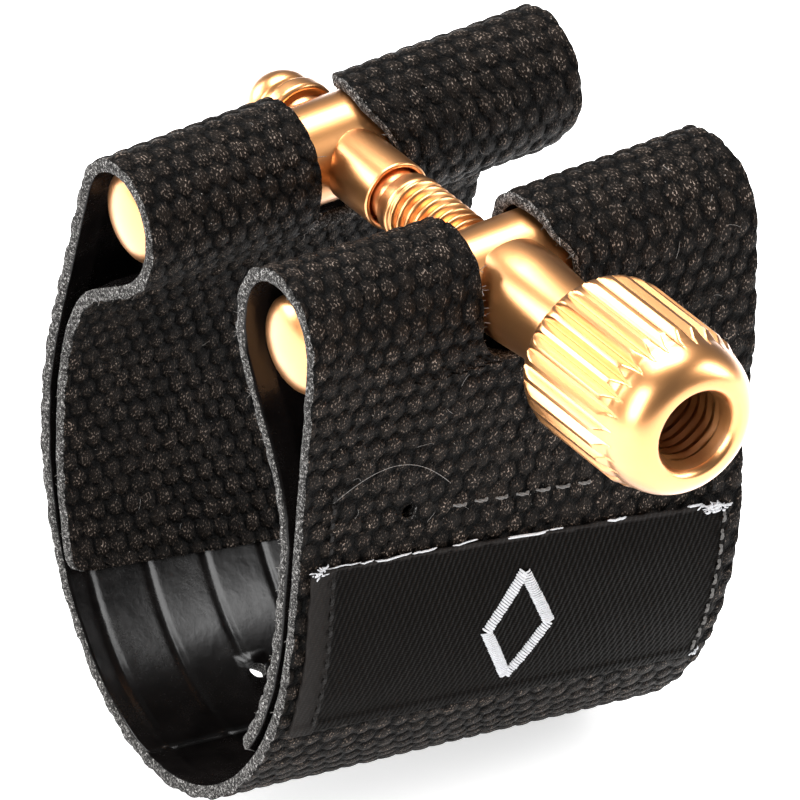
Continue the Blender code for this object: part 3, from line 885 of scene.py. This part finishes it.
# ---- turned hardware ----
def turned(name, profile, place, mats, segments=96, wave=None, ring=False, sharp=38):
    """Spin (radius, height) pairs about local Z; wave(angle, height, radius) may reshape the radius.

    A ring's profile closes on itself instead of ending on the axis.
    """
    r = np.array([p[0] for p in profile], float)
    h = np.array([p[1] for p in profile], float)
    a = np.arange(segments) * 2 * math.pi / segments
    A, H = np.meshgrid(a, h)
    Rr = np.repeat(r[:, None], segments, 1)
    if wave is not None:
        Rr = wave(A, H, Rr)
    pts = np.stack([Rr * np.cos(A), Rr * np.sin(A), H], -1)
    build = Builder()
    rows = [build.add([(0, 0, h[i])] if r[i] < 1e-6 else pts[i]) for i in range(len(h))]
    pairs = list(zip(rows, rows[1:])) + ([(rows[-1], rows[0])] if ring else [])
    for p, q in pairs:
        for k in range(segments):
            m = (k + 1) % segments
            if len(p) == 1:
                build.face((p[0], q[k], q[m]))
            elif len(q) == 1:
                build.face((p[k], q[0], p[m]))
            else:
                build.face((p[k], q[k], q[m], p[m]))
    obj = build.make(name, mats)
    obj.data.transform(place)
    obj.data.update()
    obj.data.set_sharp_from_angle(angle=math.radians(sharp))
    return obj


def rounded(points, radius=0.12, steps=4):
    """Profile with its corners rounded by short arcs, so that edges catch the light."""
    pts = [np.array(p, float) for p in points]
    out = [tuple(pts[0])]
    for a, b, c in zip(pts, pts[1:], pts[2:]):
        u, v = a - b, c - b
        lu, lv = np.linalg.norm(u), np.linalg.norm(v)
        cut = min(radius, lu * 0.45, lv * 0.45)
        p, q = b + u / lu * cut, b + v / lv * cut
        if np.dot(u / lu, v / lv) < -0.985 or cut < 1e-4:
            out.append(tuple(b))
            continue
        for t in np.linspace(0, 1, steps + 1):
            out.append(tuple(p * (1 - t) ** 2 + 2 * b * t * (1 - t) + q * t * t))
    out.append(tuple(pts[-1]))
    return out


def dome(radius, width, height, base, angles, power=1.0):
    """Profile points of a dome: angles run from its base at 0 to its top at 90 degrees."""
    return [(radius + width * math.cos(t) ** power, base + height * math.sin(t)) for t in np.radians(angles)]


def bar_place(y):
    """A crossbar's frame: local Z along the bar, which leans with the taper."""
    lean = Matrix.Rotation(math.pi / 2 - math.atan(SLOPE), 4, "Y")
    return Matrix.Translation((0, y * MM, BAR_Z * MM)) @ lean


def screw_place(y):
    """A frame on the screw's axis: local Z towards -Y."""
    return Matrix.Translation((0, y * MM, BAR_Z * MM)) @ Matrix.Rotation(math.pi / 2, 4, "X")


SCREW = screw_place(BAR_MID)
GOLD_X = gold_material("satin_gold_bar", 0)
GOLD_Y = gold_material("satin_gold_screw", 1, 0.30)
GOLD_NUT = gold_material("satin_gold_nut", 1, 0.29)
# the nut's bore: the same gold at 0.42 of its colour, painted shade inside the hole
GOLD_BORE_SHADED = gold_material("satin_gold_bore_painted_shade", 1, 0.5, 0.42)


def crossbar(name, y, bore, body, node):
    """A rod with low domed ends, cross-bored for the screw."""
    half = BAR_LEN / 2
    rise = 1.35
    prof = [(0.0, half)] + dome(0.0, BAR_R * 0.99, rise, half - rise, np.linspace(86, 22, 12))
    prof += [(BAR_R - 0.04, half - 1.12), (BAR_R, half - rise)]
    rod = [(BAR_R, v) for v in np.linspace(half - 1.6, 1.6 - half, 41)]
    prof = prof + rod + [(r, -h) for r, h in reversed(prof)]
    obj = turned(name, prof, bar_place(y), [GOLD_X], 96)
    drill = [(0, -10), (bore, -10), (bore, 10), (0, 10)]
    tool = turned(name + "_drill", drill, screw_place(y), [GOLD_X], 64)
    mod = obj.modifiers.new("bore", "BOOLEAN")
    mod.operation, mod.solver, mod.object = "DIFFERENCE", "EXACT", tool
    bpy.context.view_layer.update()
    done = bpy.data.meshes.new_from_object(obj.evaluated_get(bpy.context.evaluated_depsgraph_get()))
    obj.modifiers.clear()
    obj.data = done
    bpy.data.objects.remove(tool, do_unlink=True)
    done.set_sharp_from_angle(angle=math.radians(35))
    stands_for(obj, body, node)


crossbar("far_bar", FAR_Y, 1.95, "far_side", "far_crossbar")
crossbar("near_bar", NEAR_Y, 2.12, "near_bar", "near_crossbar")

THREAD_PITCH = 0.7


def stud_wave(A, H, Rr):
    """Right-handed V thread, fading out at its end and at the shoulder."""
    f = np.mod(H / THREAD_PITCH - A / (2 * math.pi), 1.0)
    v = np.abs(f - 0.5) * 2
    depth = 0.20 * (1 - np.cos(math.pi * np.clip((v - 0.05) / 0.9, 0, 1)))
    on = np.clip((H - 0.25) / 0.35, 0, 1) * np.clip((19.35 - H) / 0.3, 0, 1)
    return Rr - depth * on


prof = [(0.0, 19.42), (1.45, 19.4), (1.72, 19.2), (2.0, 18.9)]
prof += [(2.0, v) for v in np.arange(18.86, 0.02, -0.05)]
prof += [(1.93, -0.05), (1.9, -0.12), (1.9, -0.68), (1.84, -0.75), (1.6, -0.80), (1.58, -2.2), (1.7, -2.3),
         (1.7, -12.2), (1.75, -12.3), (1.78, -12.72), (2.0, -12.84), (2.08, -13.05)]
prof += dome(0.0, 2.14, -1.95, -13.3, np.linspace(4, 88, 22), 0.9)
prof.append((0.0, -15.27))
stud = turned("stud_screw", prof, SCREW, [GOLD_Y], 96, stud_wave, sharp=75)
stands_for(stud, "far_side", "stud")

washer_prof = rounded([(1.72, -11.2), (2.2, -11.2), (2.38, -11.4), (2.38, -12.2), (2.2, -12.42),
                       (1.72, -12.42)])
washer = turned("head_collar", washer_prof, SCREW, [GOLD_Y], 72, ring=True)
stands_for(washer, "far_side", "head_washer")

sleeve_prof = rounded([(1.78, -3.0), (1.78, -1.62), (1.9, -1.52), (2.02, -1.52), (2.09, -1.64), (2.09, -4.6),
                       (2.09, -7.2), (1.9, -7.3)], 0.06)
sleeve = turned("spacer_sleeve", sleeve_prof, SCREW, [GOLD_Y], 72, ring=True)
stands_for(sleeve, "far_side", "stud_sleeve")

collar_prof = rounded([(2.25, 9.4), (2.86, 9.6), (2.88, 11.2), (2.8, 12.2), (2.62, 14.6), (2.6, 16.0),
                       (2.5, 16.45), (2.25, 16.45)], 0.10)
collar = turned("bar_collar", collar_prof, SCREW, [GOLD_Y], 72, ring=True)
stands_for(collar, "near_bar", "near_collar")

# ---- thumb nut ----
TEETH = 30
NUT_R = 4.86
NUT_SHIFT = 0.55           # the nut stands this far off the collar's end


def nut_wave(A, H, Rr):
    """Straight knurling: V grooves whose ends come to a point where the dome falls below their roots."""
    f = np.abs(np.mod(A * TEETH / (2 * math.pi), 1.0) - 0.5) * 2
    knurl = NUT_R - 0.40 + 0.40 * np.clip((f - 0.04) / 0.72, 0, 1)
    bore = Rr < 2.75
    f2 = np.mod(H / THREAD_PITCH - A / (2 * math.pi), 1.0)
    inner = Rr + np.where(H < 26.7, 0.16 * np.abs(f2 - 0.5) * 2, 0.0)
    return np.where(bore, np.where(Rr < 2.2, inner, Rr), np.minimum(Rr, knurl))


outer = [(3.0, 16.70), (3.9, 16.72), (4.1, 16.80), (4.35, 16.98), (4.55, 17.2), (4.72, 17.5), (4.80, 17.8),
         (4.84, 18.1)]
outer += [(NUT_R, v) for v in np.linspace(18.4, 24.1, 16)]
outer += [(4.84, 24.2), (4.80, 24.32), (4.75, 24.45), (4.69, 24.6), (4.62, 24.75), (4.56, 24.9)]
outer += dome(2.72, 1.84, 2.58, 24.72, np.linspace(9, 84, 30), 0.94)
outer += [(2.82, 27.31), (2.72, 27.30), (2.62, 27.26), (2.5, 27.14), (2.36, 26.9), (2.28, 26.6),
          (2.19, 26.35)]
inner = [(2.15, v) for v in np.arange(26.2, 16.9, -0.10)]
inner += [(2.19, 16.85), (2.4, 16.72), (2.7, 16.70)]
nut_prof = [(r, h + NUT_SHIFT) for r, h in outer + inner]
nut = turned("knurled_nut", nut_prof, SCREW, [GOLD_NUT, GOLD_BORE_SHADED], TEETH * 16, nut_wave, ring=True, sharp=30)
# faces inside the bore take the darkened gold, as painted shade
for poly in nut.data.polygons:
    c = poly.center
    if math.hypot(c[0], c[2] - BAR_Z * MM) < 2.34 * MM:
        poly.material_index = 1
stands_for(nut, "nut", "thumb_nut")


# ---- label ----
LOW, HIGH, LHALF = 15.4, 27.0, 13.6
LABEL_BASE = FACE + 0.02


def label_lift(x, s):
    """Upper surface of the label above the strap's middle, with hems and a puckered edge."""
    h = np.full(np.shape(x), LABEL_BASE + 0.20)
    fold = 1 / (1 + np.exp((x + LHALF - 1.45) / 0.06))
    h = h + 0.14 * fold
    h = h + 0.10 / (1 + np.exp((s - LOW - 0.75) / 0.05))
    h = h + 0.05 * (value_noise(x * 0.5, s * 0.5, 31.0) - 0.5)
    h = h + 0.02 * np.sin((x * math.cos(0.33) + s * math.sin(0.33)) * 2 * math.pi / 0.48)
    return h


def label_outline(f, g):
    """Grid fractions to x and s, with small waves along the woven edges."""
    x = -LHALF + (2 * LHALF - 0.3) * f
    s = LOW + (HIGH - LOW) * g
    edge = np.clip(1 - np.minimum(g, 1 - g) * 14, 0, 1)
    s = s + edge * 0.07 * (value_noise(x * 1.7, np.zeros_like(x) + 3.0, 33.0) - 0.5) * 2
    side = np.clip(1 - np.minimum(f, 1 - f) * 30, 0, 1)
    x = x + side * 0.06 * (value_noise(s * 1.9, np.zeros_like(s) + 7.0, 35.0) - 0.5) * 2
    return x, s


nx, ns = 232, 98
F, G = np.meshgrid(np.linspace(0, 1, nx + 1), np.linspace(0, 1, ns + 1))
lx, ls = label_outline(F, G)
build = Builder()
top = build.add(NEAR.at_arc(lx, ls, label_lift(lx, ls))).reshape(ns + 1, nx + 1)
build.grid(top)
edge_round = 0.10 * np.clip(1 - np.minimum(np.minimum(F, 1 - F) * 60, np.minimum(G, 1 - G) * 26), 0, 1)
bottom = build.add(NEAR.at_arc(lx, ls, LABEL_BASE - 0.04 + edge_round)).reshape(ns + 1, nx + 1)
build.grid(bottom)
rim = tuple(np.array(rectangle(0, ns, 0, nx)).T)
build.band(top[rim], bottom[rim])
label = build.make("satin_label", [SATIN])
cl = np.stack([lx, ls, np.zeros_like(lx)], -1).reshape(-1, 3)
put_attribute(label, "cloth", "FLOAT_VECTOR", np.concatenate([cl, cl]))
hem = (np.clip(1 - (lx + LHALF) / 1.5, 0, 1) ** 0.3 * (lx < -LHALF + 1.5)).ravel()
hem = np.maximum(hem, (0.9 * (ls > HIGH - 0.25)).ravel())
put_attribute(label, "hem", "FLOAT", np.concatenate([hem, hem]))
stands_for(label, "near_band", "label")


# ---- embroidery: a plain lozenge ----
MARK = (0.1, 20.9)


def satin_stitches(build, line, half_width, lean, pitch, radius):
    """Close parallel threads laid across a closed line."""
    line = np.array(line)
    seg = np.linalg.norm(np.diff(line, axis=0), axis=1)
    run = np.concatenate([[0], np.cumsum(seg)])
    count = int(run[-1] / pitch)

    def point(s):
        return np.array([np.interp(s % run[-1], run, line[:, j]) for j in (0, 1)])

    for q in range(count):
        s = run[-1] * (q + 0.5) / count
        c = point(s)
        e = unit(point(s + 0.1) - c)
        across = unit(np.array([-e[1], e[0]]) + e * lean)
        hw = half_width * (1 + 0.12 * (rng.random() - 0.5))
        k = np.linspace(-1, 1, 9)
        xy = c[None] + across[None] * k[:, None] * hw
        up = 0.20 * np.sqrt(np.clip(1 - np.abs(k) ** 3, 0, 1)) - 0.10
        pts = NEAR.at_arc(xy[:, 0], xy[:, 1], label_lift(xy[:, 0], xy[:, 1]) + up)
        nrm = np.diff([NEAR.at_arc(xy[:, 0], xy[:, 1], np.full(9, v)) for v in (1.0, 2.0)], axis=0)[0]
        build.tube(pts, radius * (0.9 + 0.2 * rng.random()), 6, 0.8, nrm)


build = Builder()
w, t = 2.05, 3.75
corners = [(MARK[0], MARK[1] - t), (MARK[0] + w, MARK[1]), (MARK[0], MARK[1] + t), (MARK[0] - w, MARK[1]),
           (MARK[0], MARK[1] - t)]
line = []
for a, b in zip(corners, corners[1:]):
    for f in np.linspace(0, 1, 24, endpoint=False):
        line.append((a[0] + (b[0] - a[0]) * f, a[1] + (b[1] - a[1]) * f))
line.append(corners[0])
satin_stitches(build, line, 0.40, 0.25, 0.17, 0.07)
mark = build.make("embroidered_lozenge", [THREAD_WHITE])
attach(mark, "near_band")


# ---- frayed white threads on the label's edge ----
build = Builder()
x = -13.3
while x < 13.3:
    size = rng.uniform(0.8, 3.0)
    if rng.random() < 0.66:
        k = np.linspace(0, 1, 9)
        wob = np.cumsum(rng.normal(0, 0.035, 9))
        on_edge = HIGH - 0.02 + wob + rng.normal(0, 0.04)
        lift = LABEL_BASE + 0.14 + 0.09 * np.sin(k * math.pi) + rng.normal(0, 0.02)
        build.tube(NEAR.at_arc(x + size * k, on_edge, lift), rng.uniform(0.04, 0.085), 5)
    x += size * rng.uniform(0.75, 1.15)
tufts = ((12.3, HIGH - 0.2, 34, 0.75), (-13.2, HIGH - 0.15, 16, 0.45), (13.4, LOW + 0.4, 5, 0.3))
for cx, cs, count, spread_x in tufts:
    for _ in range(count):
        a = rng.uniform(0, 2 * math.pi)
        size = rng.uniform(0.2, 0.6)
        k = np.linspace(0, 1, 6)
        px = cx + rng.normal(0, spread_x * 0.5) + size * np.cos(a + k) * k
        ps = cs + rng.normal(0, 0.13) + size * np.sin(a + k * 1.3) * k * 0.6
        build.tube(NEAR.at_arc(np.clip(px, -14.0, 13.4), ps, LABEL_BASE + 0.22 + 0.10 * np.sin(k * 3)),
                   rng.uniform(0.035, 0.075), 5)
frays = build.make("frayed_threads", [THREAD_WHITE])
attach(frays, "near_band")


# ---- sewing ----
def stitches(name, node, mat, a, b, count, base, radius, gap=0.3):
    """Single stitches from a to b: each rises from the cloth, lies on it and goes back in."""
    build = Builder()
    step = (np.array(b) - np.array(a)) / count
    for q in range(count):
        p0 = np.array(a) + step * (q + gap / 2 + rng.normal(0, 0.03))
        p1 = np.array(a) + step * (q + 1 - gap / 2 + rng.normal(0, 0.03))
        k = np.linspace(0, 1, 11)
        xs = p0[0] + (p1[0] - p0[0]) * k + rng.normal(0, 0.02)
        ss = p0[1] + (p1[1] - p0[1]) * k + rng.normal(0, 0.02)
        lift = base(xs, ss) + 0.26 * np.clip(np.sin(k * math.pi), 0, 1) ** 0.5 - 0.17
        along = (p1 - p0) / np.linalg.norm(p1 - p0)
        # two plies twist round each other
        for ply in (0.0, math.pi):
            w = 0.045 * np.cos(k * 7 + ply)
            v = 0.045 * np.sin(k * 7 + ply)
            build.tube(NEAR.at_arc(xs - along[1] * w, ss + along[0] * w, lift + v), radius, 6)
    stands_for(build.make(name, [mat]), "near_band", node)


def cloth_top(x, s):
    return np.full(np.shape(x), BASE_OUT + BUMP * 0.75)


stitches("seam_thread", "seam_stitches", THREAD_GREY,
         (-4.8, 29.6), (4.6, 29.6), 7, cloth_top, 0.07)
for side, x in (("left", -12.4), ("right", 12.4)):
    stitches("fold_thread_" + side, "fold_stitches_" + side, THREAD_BLACK,
             (x, 27.6), (x, 32.0), 5, cloth_top, 0.08)
for side, x, mat, radius in (("left", -12.3, THREAD_BLACK, 0.075), ("right", 13.0, THREAD_GREY, 0.065)):
    stitches("label_thread_" + side, "label_stitches_" + side, mat,
             (x, 15.9), (x, 26.6), 10, label_lift, radius)

# ---- floor, light, camera ----
floor_mesh = bpy.data.meshes.new("floor")
reach, floor_z = 3.0, -0.01625
floor_mesh.from_pydata([(-reach, -reach, floor_z), (reach, -reach, floor_z), (reach, reach, floor_z),
                        (-reach, reach, floor_z)], [], [(0, 1, 2, 3)])
pale = Nodes("pale_floor")
pale_tone = pale.mix(pale.noise(object_mm(pale), 0.02, 2.0), (0.93, 0.93, 0.93), (0.90, 0.90, 0.90))
floor_mesh.materials.append(pale.surface(Base_Color=pale_tone, Roughness=0.9, Specular_IOR_Level=0.1,
                                         Emission_Color=(1.0, 1.0, 1.0), Emission_Strength=0.60))
floor = bpy.data.objects.new("floor", floor_mesh)
scene.collection.objects.link(floor)

world = bpy.data.worlds.new("soft_white")
scene.world = world
world.use_nodes = True
sky = world.node_tree.nodes["Background"].inputs
sky["Color"].default_value = (1.0, 1.0, 1.0, 1.0)
sky["Strength"].default_value = 0.15


def softbox(name, where, size, power):
    """A rectangular area light that looks at the middle of the ring."""
    data = bpy.data.lights.new(name, "AREA")
    data.shape = "RECTANGLE"
    data.size, data.size_y = size
    data.energy = power
    obj = bpy.data.objects.new(name, data)
    scene.collection.objects.link(obj)
    obj.location = where
    obj.rotation_euler = (Vector((0, 0, 0.003)) - Vector(where)).to_track_quat("-Z", "Y").to_euler()


softbox("softbox_left", (-0.40, -0.12, 0.22), (0.20, 0.34), 2.2)
softbox("softbox_back_left", (-0.26, 0.36, 0.19), (0.34, 0.26), 2.5)
softbox("softbox_top", (0.04, 0.12, 0.44), (0.30, 0.26), 3.6)
softbox("softbox_right", (0.34, -0.22, 0.20), (0.14, 0.30), 1.5)

cam_data = bpy.data.cameras.new("camera")
cam_data.sensor_width = 36.0
cam_data.lens = 465.8
cam_data.clip_start = 0.01
cam = bpy.data.objects.new("camera", cam_data)
scene.collection.objects.link(cam)
# the view is described by the point looked at, the distance, and the angles of the sight line
AIM, DISTANCE = Vector((2.600, 1.961, 5.156)) * MM, 0.5871
AZIMUTH, ELEVATION, ROLL = (math.radians(a) for a in (-124.727, 30.955, 2.444))
turn = (Matrix.Rotation(AZIMUTH + math.pi / 2, 4, "Z") @ Matrix.Rotation(math.pi / 2 - ELEVATION, 4, "X")
        @ Matrix.Rotation(ROLL, 4, "Z"))
cam.matrix_world = Matrix.Translation(AIM) @ turn @ Matrix.Translation((0, 0, DISTANCE))
scene.camera = cam
scene.view_settings.view_transform = "Standard"

bpy.context.view_layer.update()
